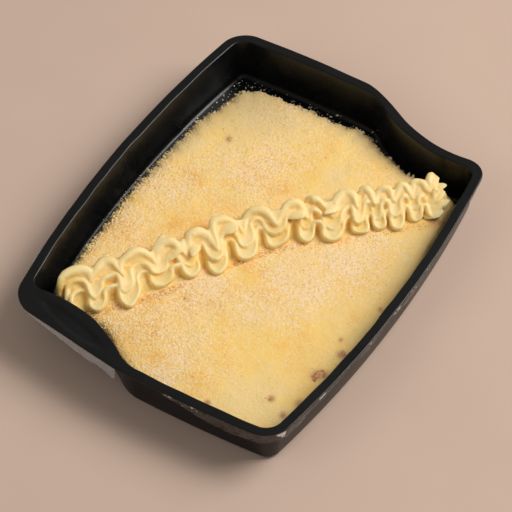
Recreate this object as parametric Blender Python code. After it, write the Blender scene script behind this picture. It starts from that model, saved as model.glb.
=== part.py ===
"""Shepherd's pie in its shallow black ready-meal tray, with piped mash across the top.

Metres, +Z up. The origin is the centre of the base: +X runs along the long axis, and the
tray's finger tab is at the -X +Y corner. Every piece is one closed solid of its own.
"""
import math

import bmesh
import bpy
import numpy as np

MM = 0.001

# ---- tray: sizes over all, and the bowed rectangle that its cavity follows ----
TRAY_LENGTH = 227.0 * MM
TRAY_WIDTH = 177.6 * MM
TRAY_HEIGHT = 28.0 * MM
FLANGE_WIDTH = 5.3 * MM
FLANGE_THICKNESS = 1.0 * MM
SHEET = 0.8 * MM                 # wall and floor thickness
DRAFT = 1.0 * MM                 # how far a wall leans in from rim to floor
FLOOR_FILLET = 3.0 * MM
LONG_BOW = 607.0 * MM            # radius of the outward bow of a long side
SHORT_BOW = 725.0 * MM           # radius of the outward bow of a short side
CORNER = 6.0 * MM                # plan radius of the cavity's corners
KINK = 4.0 * MM                  # plan radius where a short side turns into a recess

# ---- the two corner recesses: concave arcs, one turned half round from the other ----
RECESS_CENTRE = (167.0 * MM, -58.0 * MM)
RECESS_RADIUS = 76.5 * MM

# ---- finger tab: the flange fills the recess at -X +Y out to a straight edge ----
TAB_EDGE = ((-113.9 * MM, 8.0 * MM), (-106.6 * MM, 71.8 * MM))
DIMPLE_CENTRE = (-101.6 * MM, 45.5 * MM)
DIMPLE_LENGTH = 47.0 * MM
DIMPLE_WIDTH = 8.6 * MM
DIMPLE_DEPTH = 1.1 * MM
DIMPLE_TURN = math.radians(78.0)

# ---- pie: a low slab of mash, pulled a little away from the walls ----
GAP = 0.3 * MM                   # clearance between pieces that touch
PIE_TOP = 14.5 * MM
PIE_FOOT_INSET = 4.2 * MM        # foot of the mash in from the rim line
PIE_SHRINK = 2.6 * MM            # extra inset along the +X and +Y walls
END_SHRINK = 5.0 * MM            # further inset along the +X wall beyond the recess
END_FROM = (62.0 * MM, -16.0 * MM)
END_EASE = (26.0 * MM, 22.0 * MM)
PIE_RAGGED = 0.9 * MM
PIE_DIP = 1.3 * MM               # deepest hollow in the top

# ---- piped mash: a ribbed rope laid to and fro along the tray's diagonal ----
PIPING_AXIS = ((-82, 60), (-49, 34.5), (-22, 18.5), (6, 0), (30, -25), (54, -50), (76, -70.5))
TURNS = (5, 24, 43, 58, 74, 89, 103, 121, 139, 152, 164, 176, 185, 193, 201)
PIPING_START = -6.5 * MM         # ends of the piping, along the axis from its first point
PIPING_END = 206.0 * MM
LEAN = 0.30                      # how far the waves lean along the axis, per sideways step
RIB_SPACING = 4.1 * MM
SWING = (9.6, 9.4, 9.3, 8.0, 7.0)                # sideways reach, mm, at five runs
SWING_RUN = (0, 60, 110, 160, 205)
WIDE_PITCH = 16.0 * MM           # wider waves keep their ribs parallel
TIGHT_PITCH = 11.5 * MM          # in tighter ones the ribs lie as three rows
ROW_SPACING = 4.8 * MM
ROW_SWING = 5.0 * MM
ROW_DROP = 0.8 * MM
RIB_RADIUS = (2.2 * MM, 2.3 * MM, 2.7 * MM)      # near rib, middle rib, far rib
RIB_CENTRE = (5.2 * MM, 6.8 * MM, 7.4 * MM)      # heights of the ribs above the pie
RIB_LIFT = 1.9 * MM              # rise of each rib towards its far turn
CORE_OFFSET = 3.0 * MM           # two plain strands fill the rope under its ribs
CORE_RADIUS = 4.5 * MM
CORE_CENTRE = 0.8 * MM
WEB = 2.2 * MM                   # height of the piping's near and far edges
WALL_CLEAR = 1.6 * MM            # the piping stays this far in from the rim line

# ---- torn lidding film that still clings under the flange ----
FILM = 0.4 * MM

TRAY_SPOKES = 112
PIE_SPOKES = 96


def remove_everything():
    for item in list(bpy.data.objects):
        bpy.data.objects.remove(item, do_unlink=True)


def material(name, colour, roughness, alpha=1.0):
    made = bpy.data.materials.new(name)
    made.use_nodes = True
    shader = made.node_tree.nodes["Principled BSDF"]
    shader.inputs["Base Color"].default_value = (*colour, 1.0)
    shader.inputs["Roughness"].default_value = roughness
    shader.inputs["Metallic"].default_value = 0.0
    shader.inputs["Alpha"].default_value = alpha
    made.diffuse_color = (*colour, alpha)
    return made


def add_object(name, bm, finish, smooth_angle=40.0):
    bmesh.ops.recalc_face_normals(bm, faces=bm.faces[:])
    mesh = bpy.data.meshes.new(name)
    bm.to_mesh(mesh)
    bm.free()
    mesh.shade_smooth()
    mesh.set_sharp_from_angle(angle=math.radians(smooth_angle))
    mesh.materials.append(finish)
    made = bpy.data.objects.new(name, mesh)
    bpy.context.scene.collection.objects.link(made)
    return made


# ---------------------------------------------------------------- plan outlines

def round_min(a, b, radius):
    """The smaller of two distances, with the corner between them rounded."""
    both_near = (a < radius) & (b < radius)
    rounded = radius - np.hypot(radius - a, radius - b)
    return np.where(both_near, rounded, np.minimum(a, b))


def bowed_side(x, y, reach, bow, along_x):
    """Distance in from a side that bows outward, its middle at reach from the centre."""
    if along_x:
        return bow - np.hypot(x, y - (reach - bow))
    return bow - np.hypot(x - (reach - bow), y)


def recess(x, y, turn):
    cx, cy = RECESS_CENTRE
    return np.hypot(x - turn * cx, y - turn * cy) - RECESS_RADIUS


def cavity_depth(x, y, corner):
    """Distance in from the rim line of the cavity; negative out on the flange."""
    half_x = TRAY_LENGTH / 2 - FLANGE_WIDTH
    half_y = TRAY_WIDTH / 2 - FLANGE_WIDTH
    right = round_min(bowed_side(x, y, half_x, SHORT_BOW, False), recess(x, y, 1), KINK)
    left = round_min(bowed_side(-x, y, half_x, SHORT_BOW, False), recess(x, y, -1), KINK)
    sides = np.minimum(bowed_side(x, y, half_y, LONG_BOW, True),
                       bowed_side(x, -y, half_y, LONG_BOW, True))
    return round_min(np.minimum(left, right), sides, corner)


def flange_depth(x, y, corner):
    """The same distance for the flange, which fills the -X +Y recess as a tab."""
    half_x = TRAY_LENGTH / 2 - FLANGE_WIDTH
    half_y = TRAY_WIDTH / 2 - FLANGE_WIDTH
    (ax, ay), (bx, by) = TAB_EDGE
    run = math.hypot(bx - ax, by - ay)
    tab = ((x - ax) * (by - ay) - (y - ay) * (bx - ax)) / run - FLANGE_WIDTH
    right = round_min(bowed_side(x, y, half_x, SHORT_BOW, False), recess(x, y, 1), KINK)
    left = np.minimum(bowed_side(-x, y, half_x, SHORT_BOW, False), tab)
    sides = np.minimum(bowed_side(x, y, half_y, LONG_BOW, True),
                       bowed_side(x, -y, half_y, LONG_BOW, True))
    return round_min(np.minimum(left, right), sides, corner)


def outline(angles, inset, corner, depth=cavity_depth):
    """Points where spokes from the centre meet the line at an inset from the rim."""
    low = np.full(len(angles), 40.0 * MM)
    high = np.full(len(angles), 180.0 * MM)
    for _ in range(34):
        middle = (low + high) / 2
        inside = depth(middle * np.cos(angles), middle * np.sin(angles), corner) > inset
        low = np.where(inside, middle, low)
        high = np.where(inside, high, middle)
    radius = (low + high) / 2
    return np.column_stack([radius * np.cos(angles), radius * np.sin(angles)])


def spoke_angles(count, straight_step=13.0 * MM, turn_step=math.radians(9.5)):
    """Spokes spaced by length along the rim, and closer where it turns."""
    fine = np.linspace(0, 2 * math.pi, 2880, endpoint=False)
    rim = outline(fine, 0.0, CORNER)
    step = np.roll(rim, -1, axis=0) - rim
    heading = np.arctan2(step[:, 1], step[:, 0])
    turn = np.abs((np.roll(heading, -1) - heading + math.pi) % (2 * math.pi) - math.pi)
    weight = np.hypot(step[:, 0], step[:, 1]) / straight_step + turn / turn_step
    total = np.concatenate([[0.0], np.cumsum(weight)])
    wanted = np.arange(count) * total[-1] / count
    return np.interp(wanted, total, np.append(fine, 2 * math.pi))


def add_ring(bm, plan, height):
    heights = np.broadcast_to(height, (len(plan),))
    return [bm.verts.new((x, y, z)) for (x, y), z in zip(plan.tolist(), heights.tolist())]


def bridge(bm, rings):
    for lower, upper in zip(rings, rings[1:]):
        for i in range(len(lower)):
            j = (i + 1) % len(lower)
            bm.faces.new((lower[i], lower[j], upper[j], upper[i]))


# ---------------------------------------------------------------- tray

def oval_pan(name, top, bottom, top_size, bottom_size):
    """An oval frustum over the tab, from which its dimple is formed."""
    bm = bmesh.new()
    rings = []
    for height, (length, width) in ((bottom, bottom_size), (top, top_size)):
        turn = np.linspace(0, 2 * math.pi, 28, endpoint=False)
        u = length / 2 * np.cos(turn)
        v = width / 2 * np.sin(turn)
        x = DIMPLE_CENTRE[0] + u * math.cos(DIMPLE_TURN) - v * math.sin(DIMPLE_TURN)
        y = DIMPLE_CENTRE[1] + u * math.sin(DIMPLE_TURN) + v * math.cos(DIMPLE_TURN)
        rings.append(add_ring(bm, np.column_stack([x, y]), height))
    bridge(bm, rings)
    bm.faces.new(rings[0])
    bm.faces.new(rings[-1])
    made = add_object(name, bm, material(name, (0.5, 0.5, 0.5), 0.5))
    made.hide_render = True
    made.display_type = "WIRE"
    return made


def build_tray(finish):
    spokes = spoke_angles(TRAY_SPOKES)
    under = TRAY_HEIGHT - FLANGE_THICKNESS
    foot = DRAFT - SHEET
    lean = FLOOR_FILLET * (1 - math.sqrt(0.5))
    outer_fillet = FLOOR_FILLET + SHEET / 2
    outer_lean = outer_fillet * (1 - math.sqrt(0.5))
    shell = (                    # inset from the rim line, height, plan corner radius
        (foot + outer_fillet, 0.0, 4.5 * MM),
        (foot + outer_lean, outer_lean, 5.5 * MM),
        (foot, outer_fillet, 6.0 * MM),
        (-SHEET, under, 7.0 * MM),
        (-FLANGE_WIDTH, under, None),
        (-FLANGE_WIDTH, TRAY_HEIGHT, None),
        (-0.5 * MM, TRAY_HEIGHT, 6.5 * MM),
        (0.0, TRAY_HEIGHT - 0.6 * MM, 6.0 * MM),
        (DRAFT, SHEET + FLOOR_FILLET, 5.5 * MM),
        (DRAFT + lean, SHEET + lean, 5.0 * MM),
        (DRAFT + FLOOR_FILLET, SHEET, 4.0 * MM),
    )
    bm = bmesh.new()
    rings = []
    for inset, height, corner in shell:
        if corner is None:
            plan = outline(spokes, inset, CORNER, flange_depth)
        else:
            plan = outline(spokes, inset, corner + inset)
        rings.append(add_ring(bm, plan, height))
    bridge(bm, rings)
    bm.faces.new(rings[0])
    bm.faces.new(rings[-1])
    tray = add_object("tray", bm, finish)

    pan = oval_pan("tab_pan", TRAY_HEIGHT - 0.4 * MM, TRAY_HEIGHT - DIMPLE_DEPTH - SHEET,
                   (DIMPLE_LENGTH + 1.6 * MM, DIMPLE_WIDTH + 1.6 * MM),
                   (DIMPLE_LENGTH - 2.0 * MM, DIMPLE_WIDTH - 2.0 * MM))
    hollow = oval_pan("tab_hollow", TRAY_HEIGHT + 0.3 * MM, TRAY_HEIGHT - DIMPLE_DEPTH,
                      (DIMPLE_LENGTH + 0.6 * MM, DIMPLE_WIDTH + 0.6 * MM),
                      (DIMPLE_LENGTH - 5.0 * MM, DIMPLE_WIDTH - 4.4 * MM))
    for cutter, operation in ((pan, "UNION"), (hollow, "DIFFERENCE")):
        step = tray.modifiers.new(cutter.name, "BOOLEAN")
        step.object = cutter
        step.operation = operation
    return tray


# ---------------------------------------------------------------- pie

def far_side(x, y):
    """1 along the +X and +Y walls, where the mash has shrunk back most, 0 opposite."""
    lean = 0.55 * y / (TRAY_WIDTH / 2) + 0.75 * x / (TRAY_LENGTH / 2)
    return np.clip(0.5 + 0.9 * lean, 0.0, 1.0)


def end_side(x, y):
    """1 along the +X wall beyond the recess, 0 elsewhere."""
    along = np.clip((x - END_FROM[0]) / END_EASE[0], 0.0, 1.0)
    across = np.clip((y - END_FROM[1]) / END_EASE[1], 0.0, 1.0)
    return along * across


def raggedness(angle):
    """Uneven spread of the mash round its edge."""
    waves = ((7, 0.4, 0.35), (13, 1.9, 0.3), (23, 0.7, 0.22), (31, 2.6, 0.16))
    return sum(size * np.sin(count * angle + phase) for count, phase, size in waves)


def pie_height(x, y):
    """Height of the mash's top: flat along the piping, with shallow hollows beside it."""
    waves = ((0.031, 0.044, 0.6), (-0.052, 0.027, 2.2), (0.071, -0.058, 4.0))
    hollow = sum(np.sin(kx * x / MM + ky * y / MM + phase) for kx, ky, phase in waves) / 3
    diagonal = (0.66 * x + 0.75 * y) / (34.0 * MM)
    beside = np.clip(diagonal * diagonal - 0.15, 0.0, 1.0)
    return PIE_TOP - PIE_DIP * beside * (0.5 + 0.5 * hollow)


def build_pie(finish):
    spokes = spoke_angles(PIE_SPOKES)
    rim = outline(spokes, 0.0, CORNER)
    extra = PIE_SHRINK * far_side(rim[:, 0], rim[:, 1]) + PIE_RAGGED * raggedness(spokes)
    extra += END_SHRINK * end_side(rim[:, 0], rim[:, 1])
    extra = np.maximum(extra, -0.4 * MM)
    floor = SHEET + GAP
    slope = (                    # further inset of each ring, share of the full height
        (0.0, 0.0),
        (0.1 * MM, 0.22),
        (1.2 * MM, 0.58),
        (3.4 * MM, 0.86),
        (7.0 * MM, 0.98),
    )
    bm = bmesh.new()
    rings = []
    for further, share in slope:
        inset = PIE_FOOT_INSET + extra + further
        plan = outline(spokes, inset, 7.0 * MM + further + PIE_FOOT_INSET)
        full = pie_height(plan[:, 0], plan[:, 1]) - floor
        rings.append(add_ring(bm, plan, floor + share * full))
    for share in (0.84, 0.66, 0.46, 0.24):
        inner = plan * share
        rings.append(add_ring(bm, inner, pie_height(inner[:, 0], inner[:, 1])))
    bridge(bm, rings)
    bm.faces.new(rings[0])
    middle = bm.verts.new((0, 0, float(pie_height(0.0, 0.0))))
    last = rings[-1]
    for i in range(len(last)):
        bm.faces.new((last[i], last[(i + 1) % len(last)], middle))
    return add_object("pie", bm, finish)


# ---------------------------------------------------------------- piped mash

def smooth_curve(points, count):
    """Evenly spaced points on a Catmull-Rom curve through the given ones."""
    knots = np.array(points, float)
    ends = np.vstack([2 * knots[0] - knots[1], knots, 2 * knots[-1] - knots[-2]])
    dense = []
    for i in range(len(knots) - 1):
        a, b, c, d = ends[i:i + 4]
        t = np.linspace(0, 1, 60, endpoint=False)[:, None]
        dense.append(0.5 * (2 * b + (c - a) * t + (2 * a - 5 * b + 4 * c - d) * t ** 2
                            + (3 * b - a - 3 * c + d) * t ** 3))
    dense = np.vstack(dense + [knots[-1:]])
    length = np.concatenate([[0], np.cumsum(np.hypot(*np.diff(dense, axis=0).T))])
    wanted = np.linspace(0, length[-1], count)
    return np.column_stack([np.interp(wanted, length, dense[:, k]) for k in range(2)])


def on_axis(run, side):
    """Plan points at a running length along the piping's axis and a step sideways."""
    axis = smooth_curve([(x * MM, y * MM) for x, y in PIPING_AXIS], 900)
    along = np.gradient(axis, axis=0)
    along /= np.hypot(along[:, 0], along[:, 1])[:, None]
    length = np.concatenate([[0], np.cumsum(np.hypot(*np.diff(axis, axis=0).T))])
    run = run + LEAN * side
    inside = np.clip(run, 0, length[-1])
    tx = np.interp(inside, length, along[:, 0])
    ty = np.interp(inside, length, along[:, 1])
    x = np.interp(inside, length, axis[:, 0]) + tx * (run - inside) - ty * side
    y = np.interp(inside, length, axis[:, 1]) + ty * (run - inside) + tx * side
    return np.column_stack([x, y])


def rib(place, count=1300):
    """Run, side, height and radius along one rib: place 0 is near, 1 middle, 2 far."""
    wave = np.linspace(-0.75, len(TURNS) - 0.55, count)
    first = 2 * TURNS[0] - TURNS[1]
    last = 2 * TURNS[-1] - TURNS[-2]
    knots = np.arange(-1, len(TURNS) + 1)
    run = np.interp(wave, knots, [first, *TURNS, last]) * MM
    ease = np.hanning(int(count * 0.05))
    padded = np.pad(run, len(ease) // 2, mode="reflect", reflect_type="odd")
    run = np.convolve(padded, ease / ease.sum(), "same")[len(ease) // 2:][:count]
    pitch = np.gradient(run) / np.gradient(wave)
    phase = 2 * math.pi * (wave + 0.25)
    swing = np.interp(run / MM, SWING_RUN, SWING) * MM
    swing *= 1 + 0.07 * np.sin(2.3 * wave + 0.6)
    rise, fall = np.sin(phase), np.cos(phase)
    offset = (place - 1) * RIB_SPACING
    slope = np.hypot(swing * fall, pitch / (2 * math.pi))
    wide_side = swing * rise + offset * pitch / (2 * math.pi) / slope
    wide_run = run - offset * swing * fall / slope
    row_side = (place - 0.9) * ROW_SPACING + ROW_SWING * rise
    tight = np.clip((WIDE_PITCH - pitch) / (WIDE_PITCH - TIGHT_PITCH), 0, 1)
    side = wide_side + (row_side - wide_side) * tight
    along = wide_run + (run - wide_run) * tight
    height = PIE_TOP + RIB_CENTRE[place] + RIB_LIFT * rise - ROW_DROP * tight
    return along, side, height, np.full(count, RIB_RADIUS[place])


def core(side):
    run = np.linspace(PIPING_START, PIPING_END, 320)
    full = np.ones(len(run))
    return run, side * full, (PIE_TOP + CORE_CENTRE) * full, CORE_RADIUS * full


def piping_top(plan, strands):
    """Height of the laid rope over each plan point; 0 where no strand passes."""
    top = np.zeros(len(plan))
    for centres, height, radius in strands:
        dx = plan[:, 0, None] - centres[:, 0]
        dy = plan[:, 1, None] - centres[:, 1]
        rise = radius ** 2 - dx ** 2 - dy ** 2
        over = np.where(rise > 0, height + np.sqrt(np.clip(rise, 0, None)), 0.0)
        top = np.maximum(top, over.max(axis=1))
    return top


def column_runs(per_wave=8):
    """Running lengths of the mesh's columns, a fixed number to each wave."""
    knots = np.array([PIPING_START / MM, *TURNS[1:], PIPING_END / MM])
    waves = np.arange(len(knots))
    dense = np.linspace(0, waves[-1], per_wave * waves[-1] + 1)
    return np.interp(dense, waves, knots) * MM


def build_piping(finish, rows=15):
    strands = []
    for run, side, height, radius in (rib(0), rib(1), rib(2), core(-CORE_OFFSET),
                                      core(CORE_OFFSET)):
        strands.append((on_axis(run, side), height, radius))
    base = PIE_TOP + GAP
    probe = np.linspace(-16.0, 16.0, 65) * MM
    bm = bmesh.new()
    lower = []
    upper = []
    for run in column_runs():
        across = on_axis(np.full(len(probe), run), probe)
        clear = cavity_depth(across[:, 0], across[:, 1], CORNER) > WALL_CLEAR
        covered = probe[clear & (piping_top(across, strands) > base + WEB)]
        spread = np.linspace(covered.min(), covered.max(), rows)
        plan = on_axis(np.full(rows, run), spread)
        top = np.maximum(piping_top(plan, strands), base + WEB)
        lower.append([bm.verts.new((x, y, base)) for x, y in plan.tolist()])
        upper.append([bm.verts.new((x, y, z)) for (x, y), z in zip(plan.tolist(), top.tolist())])
    last = len(upper) - 1
    for k in range(last):
        for j in range(rows - 1):
            bm.faces.new((upper[k][j], upper[k + 1][j], upper[k + 1][j + 1], upper[k][j + 1]))
        for j in (0, rows - 1):
            bm.faces.new((lower[k][j], lower[k + 1][j], upper[k + 1][j], upper[k][j]))
    for k in (0, last):
        for j in range(rows - 1):
            bm.faces.new((lower[k][j], lower[k][j + 1], upper[k][j + 1], upper[k][j]))
    edge = ([row[0] for row in lower] + lower[-1][1:-1]
            + [row[-1] for row in reversed(lower)] + lower[0][-2:0:-1])
    bm.faces.new(edge)
    for row in lower[1:-1]:
        for vert in row[1:-1]:
            bm.verts.remove(vert)
    return add_object("piped_mash", bm, finish, 60.0)


# ---------------------------------------------------------------- lidding film

def build_film(name, start, end, depth, drop, splay, finish, inset=0.5 * MM, steps=24):
    """A torn strip that hangs from the flange between two spoke angles in degrees."""
    angles = np.radians(np.linspace(start, end, steps))
    share = np.linspace(0, 1, steps)
    top = outline(angles, -FLANGE_WIDTH + inset, CORNER, depth)
    out = top / np.hypot(top[:, 0], top[:, 1])[:, None]
    ceiling = TRAY_HEIGHT - FLANGE_THICKNESS - GAP
    fall = drop(share)
    bm = bmesh.new()
    rings = []
    for i in range(steps):
        hem = top[i] + out[i] * splay * min(1.0, fall[i] / (2.0 * MM))
        back = out[i] * FILM
        rings.append([
            bm.verts.new((*top[i], ceiling)),
            bm.verts.new((*hem, ceiling - fall[i])),
            bm.verts.new((*(hem - back), ceiling - fall[i])),
            bm.verts.new((*(top[i] - back), ceiling)),
        ])
    bridge(bm, rings)
    bm.faces.new(rings[0])
    bm.faces.new(rings[-1])
    return add_object(name, bm, finish, 60.0)


def build_films(finish):
    build_film("film_tab", 146.0, 174.0, flange_depth,
               lambda t: (1.2 + 8.0 * t * (1 - 0.1 * np.sin(9 * t))) * MM, 0.4 * MM, finish)
    build_film("film_skirt", 188.0, 321.0, cavity_depth,
               lambda t: (2.2 + 5.5 * np.exp(-((t - 0.16) / 0.09) ** 2)
                          + 1.6 * np.sin(17 * t) ** 2) * MM, 0.3 * MM, finish, steps=64)
    build_film("film_sliver", 120.0, 133.0, cavity_depth,
               lambda t: (0.8 + 1.2 * t) * MM, 2.6 * MM, finish, 0.4 * MM, 14)


def main():
    remove_everything()
    plastic = material("black_plastic", (0.012, 0.013, 0.015), 0.34)
    mash = material("crumbed_mash", (0.80, 0.58, 0.27), 0.75)
    cream = material("piped_cream_mash", (0.88, 0.74, 0.42), 0.55)
    clear = material("lidding_film", (0.75, 0.75, 0.76), 0.25, 0.45)
    build_tray(plastic)
    build_pie(mash)
    build_piping(cream)
    build_films(clear)


main()
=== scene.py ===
"""Looks of the shepherd's pie in its black tray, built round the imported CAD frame.

Metres, +Z up, in the frame of the CAD part: +X runs along the tray's long axis, and its
finger tab is at the -X +Y corner. The pieces take their places from the frame's boxes and
from the same named plan shapes as the part. Everything scattered is real mesh.
"""

import math

import bpy
import numpy as np
from mathutils import Matrix, Vector


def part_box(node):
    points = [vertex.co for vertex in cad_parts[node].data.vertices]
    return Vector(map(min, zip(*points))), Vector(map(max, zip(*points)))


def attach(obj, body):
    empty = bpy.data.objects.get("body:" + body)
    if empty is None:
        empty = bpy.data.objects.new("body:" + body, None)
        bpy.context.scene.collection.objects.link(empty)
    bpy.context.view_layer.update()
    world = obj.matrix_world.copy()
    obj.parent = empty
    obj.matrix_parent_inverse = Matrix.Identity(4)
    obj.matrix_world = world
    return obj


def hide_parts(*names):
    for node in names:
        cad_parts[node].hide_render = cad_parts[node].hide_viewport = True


MM = 0.001

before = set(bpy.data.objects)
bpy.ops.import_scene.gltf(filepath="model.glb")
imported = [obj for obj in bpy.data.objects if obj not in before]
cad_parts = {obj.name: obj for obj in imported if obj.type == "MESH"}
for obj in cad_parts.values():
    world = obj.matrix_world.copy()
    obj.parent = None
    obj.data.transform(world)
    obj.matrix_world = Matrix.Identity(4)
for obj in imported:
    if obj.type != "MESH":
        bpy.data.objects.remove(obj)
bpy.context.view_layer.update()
tray_low, tray_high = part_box("tray")
pie_low, pie_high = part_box("pie")

# ---- tray: sizes from the frame, and its plan shape ----
LENGTH = tray_high[0] - tray_low[0]
WIDTH = tray_high[1] - tray_low[1]
RIM = tray_high[2]
FLANGE = 5.3 * MM                # flange width and thickness
FLANGE_THICK = 1.0 * MM
SHEET = 0.8 * MM
DRAFT = 1.0 * MM
WOBBLE = 0.16 * MM               # how far the thin walls stray from their line
FLANGE_SAG = 0.16 * MM
FILLET = 3.0 * MM
LONG_BOW = 607.0 * MM
SHORT_BOW = 725.0 * MM
CORNER = 6.0 * MM
KINK = 4.0 * MM
RECESS_CENTRE = (167.0 * MM, -58.0 * MM)
RECESS_RADIUS = 76.5 * MM
TAB_EDGE = ((-113.9 * MM, 8.0 * MM), (-106.6 * MM, 71.8 * MM))
DIMPLE_CENTRE = (-101.6 * MM, 45.5 * MM)
DIMPLE_LENGTH = 47.0 * MM
DIMPLE_WIDTH = 8.6 * MM
DIMPLE_DEPTH = 1.1 * MM
DIMPLE_TURN = math.radians(78.0)

# ---- mash slab ----
PIE_TOP = pie_high[2]
PIE_FOOT = pie_low[2]
PIE_FOOT_INSET = 4.2 * MM
MASH_CORNER = 11.0 * MM
PIE_SHRINK = 2.6 * MM
END_SHRINK = 5.0 * MM
END_FROM = (62.0 * MM, -16.0 * MM)
END_EASE = (26.0 * MM, 22.0 * MM)
PIE_DIP = 1.3 * MM
TOP_LUMPS = 0.32 * MM
EDGE_RAGGED = 0.9 * MM
NEAR_SWELL = 2.1 * MM            # of the edge out to the near walls

# ---- piped ruffle: rows of one wavy rope along the diagonal ----
PIPING_AXIS = ((-82, 60), (-49, 34.5), (-22, 18.5), (6, 0), (30, -25), (54, -50), (76, -70.5))
LEAN = 0.15                      # of the folds along the axis, per mm sideways
PIPING_FOOT = PIE_TOP - 1.4 * MM
PIPING_CORNER = 9.0 * MM         # corner radius of the room that the piping keeps to
PIPING_GRID = 0.45 * MM          # size of the cells of its final skin
SWAY = 0.85 * MM
SOFT_RELIEF = 0.20 * MM
FINE_RELIEF = 0.03 * MM


# ---- helpers ----

def eased(share):
    return share * share * (3 - 2 * share)


def smooth_step(value, low, high):
    return eased(np.clip((value - low) / (high - low), 0.0, 1.0))


def fade(value, low, high):
    """1 up to the low value, easing down to 0 at the high one."""
    return 1 - smooth_step(value, low, high)


def noise2(x, y, scale, seed, size=96):
    """Smooth value noise in the range -1 to 1 over a plane; scale is the lattice step."""
    lattice = np.random.default_rng(seed).uniform(-1.0, 1.0, (size, size))
    u = np.asarray(x) / scale + 31.7
    v = np.asarray(y) / scale + 17.3
    iu = np.floor(u).astype(int)
    iv = np.floor(v).astype(int)
    fu = eased(u - iu)
    fv = eased(v - iv)

    def row(dv):
        near = lattice[iu % size, (iv + dv) % size]
        return near * (1 - fu) + lattice[(iu + 1) % size, (iv + dv) % size] * fu

    return row(0) * (1 - fv) + row(1) * fv


def layered_noise(x, y, scale, seed, octaves=3):
    total = 0.0
    for k in range(octaves):
        total = total + 0.5 ** k * noise2(x, y, scale / 2 ** k, seed + 11 * k)
    return total / 1.6


def clouds(x, y, scale, seed, octaves=3):
    """Layered noise moved to the range 0 to 1."""
    return 0.5 + 0.5 * layered_noise(x, y, scale, seed, octaves)


def wave_sum(angle, waves):
    """Sine waves round the outline, each with its count, phase and size."""
    return sum(size * np.sin(count * angle + phase) for count, phase, size in waves)


def unit(vectors):
    """Plan vectors made one long."""
    return vectors / np.maximum(np.hypot(*vectors.T), 1e-9)[:, None]


def run_length(line):
    """Length along a plan line at each of its points."""
    return np.concatenate([[0], np.cumsum(np.hypot(*np.diff(line, axis=0).T))])


def at_height(plan, z):
    return np.column_stack([plan, np.broadcast_to(z, (len(plan),))])


def linked(name, data):
    made = bpy.data.objects.new(name, data)
    bpy.context.scene.collection.objects.link(made)
    return made


def new_mesh(name, verts, faces, material=None, smooth_angle=None):
    """A linked mesh object from an array of corners and arrays of triangles or quads."""
    mesh = bpy.data.meshes.new(name)
    mesh.vertices.add(len(verts))
    mesh.vertices.foreach_set("co", verts.ravel())
    loops = np.concatenate([group.ravel() for group in faces])
    sides = np.concatenate([np.full(len(group), group.shape[1]) for group in faces])
    mesh.loops.add(len(loops))
    mesh.loops.foreach_set("vertex_index", loops)
    mesh.polygons.add(len(sides))
    mesh.polygons.foreach_set("loop_start", np.concatenate([[0], np.cumsum(sides)[:-1]]))
    mesh.update(calc_edges=True)
    mesh.validate()
    mesh.shade_smooth()
    if smooth_angle is not None:
        mesh.set_sharp_from_angle(angle=math.radians(smooth_angle))
    if material is not None:
        mesh.materials.append(material)
    return linked(name, mesh)


def read_vectors(mesh, name):
    values = np.empty(3 * len(mesh.vertices))
    mesh.vertices.foreach_get(name, values)
    return values.reshape(-1, 3)


def add_attributes(thing, **values):
    """Numbers for each vertex that the materials read by name."""
    for name, each in values.items():
        layer = thing.data.attributes.new(name, "FLOAT", "POINT")
        layer.data.foreach_set("value", each)


def loft(rings):
    """Verts and faces of a skin over closed rings of equal length, capped by fans."""
    count = len(rings[0])
    ids = np.arange(count)
    nxt = (ids + 1) % count
    low = count * np.arange(len(rings) - 1)[:, None]
    high = low + count
    quads = np.stack([low + ids, low + nxt, high + nxt, high + ids], axis=2)
    total = len(rings) * count
    top = total - count
    under = np.column_stack([nxt, ids, np.full(count, total)])
    over = np.column_stack([top + ids, top + nxt, np.full(count, total + 1)])
    verts = np.vstack([*rings, np.mean(rings[0], axis=0), np.mean(rings[-1], axis=0)])
    return verts, [quads.reshape(-1, 4), under, over]


# ---- plan outlines ----

def round_min(a, b, radius):
    both_near = (a < radius) & (b < radius)
    rounded = radius - np.hypot(radius - a, radius - b)
    return np.where(both_near, rounded, np.minimum(a, b))


def even_min(a, b, radius):
    """A rounded minimum whose level lines all turn the corner at the same radius."""
    apart = np.abs(a - b)
    turned = (a + b) / 2 - radius + np.sqrt(np.maximum(2 * radius ** 2 - apart ** 2, 0)) / 2
    return np.where(apart < radius, turned, np.minimum(a, b))


def bowed_side(along, across, reach, bow):
    """Distance in from a bowed side, from places along it and out towards it."""
    return bow - np.hypot(along, across - (reach - bow))


def short_side(x, y):
    """Distance in from the bowed short side at +X."""
    return bowed_side(y, x, LENGTH / 2 - FLANGE, SHORT_BOW)


def long_sides(x, y):
    half_y = WIDTH / 2 - FLANGE
    return np.minimum(bowed_side(x, y, half_y, LONG_BOW), bowed_side(x, -y, half_y, LONG_BOW))


def end_with_recess(x, y):
    """Distance in from the short side at +X and the recess at its -Y corner."""
    cx, cy = RECESS_CENTRE
    return round_min(short_side(x, y), np.hypot(x - cx, y - cy) - RECESS_RADIUS, KINK)


def cavity_depth(x, y, corner, join=round_min):
    """Distance in from the rim line of the cavity; negative out on the flange."""
    ends = np.minimum(end_with_recess(-x, -y), end_with_recess(x, y))
    return join(ends, long_sides(x, y), corner)


def mash_depth(x, y, corner):
    """The same distance for the mash, whose corners stay equally round further in."""
    return cavity_depth(x, y, corner, even_min)


def flange_depth(x, y, corner):
    """The same distance for the flange, which fills the -X +Y recess as a tab."""
    (ax, ay), (bx, by) = TAB_EDGE
    run = math.hypot(bx - ax, by - ay)
    tab = ((x - ax) * (by - ay) - (y - ay) * (bx - ax)) / run - FLANGE
    ends = np.minimum(np.minimum(short_side(-x, y), tab), end_with_recess(x, y))
    return round_min(ends, long_sides(x, y), corner)


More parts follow.
